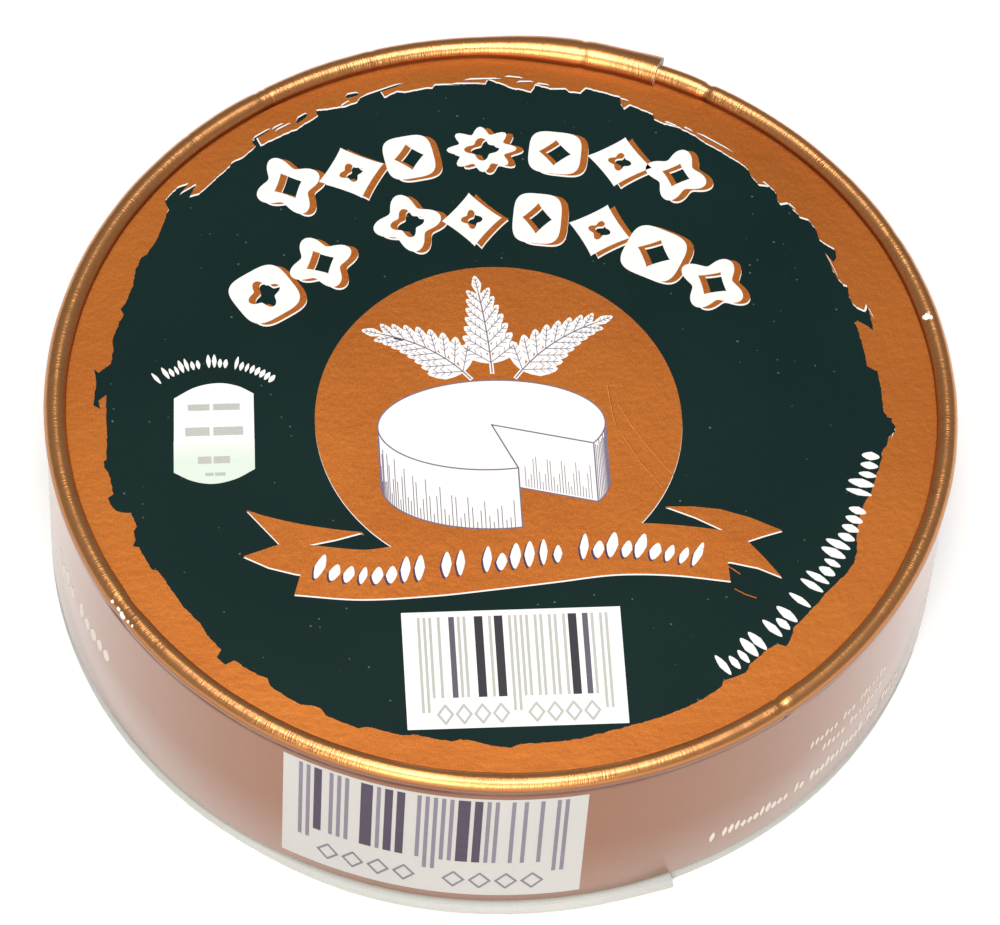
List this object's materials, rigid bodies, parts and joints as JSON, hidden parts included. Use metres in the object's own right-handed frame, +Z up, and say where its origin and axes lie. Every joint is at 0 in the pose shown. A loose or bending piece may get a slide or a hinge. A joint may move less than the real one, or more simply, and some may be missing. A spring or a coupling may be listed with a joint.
{
  "type": "round card cheese box",
  "caption": "Shut round card box for a small soft cheese: a shallow wound card lid with a rolled rim and a set-in printed disc, pushed down over a white wound card base.",
  "frame": {"origin": "on the surface that the box stands on, under the middle of the box", "axes": "+Z up out of the lid, +Y the way the lid's print reads upright, away from the reader, +X to the reader's right"},
  "size_m": [0.1093, 0.1074, 0.032],
  "materials": {
    "lid_band": "copper ink with a satin varnish on wound card, golden brown on the rolled rim",
    "lid_disc": "copper ink with a fine metallic grain under a satin varnish, printed with a dark green field and white shapes",
    "base": "plain white coated card"
  },
  "bodies": {
    "root": {"lid_band": "lid_band", "lid_disc": "lid_disc", "base": "base"}
  },
  "joints": []
}
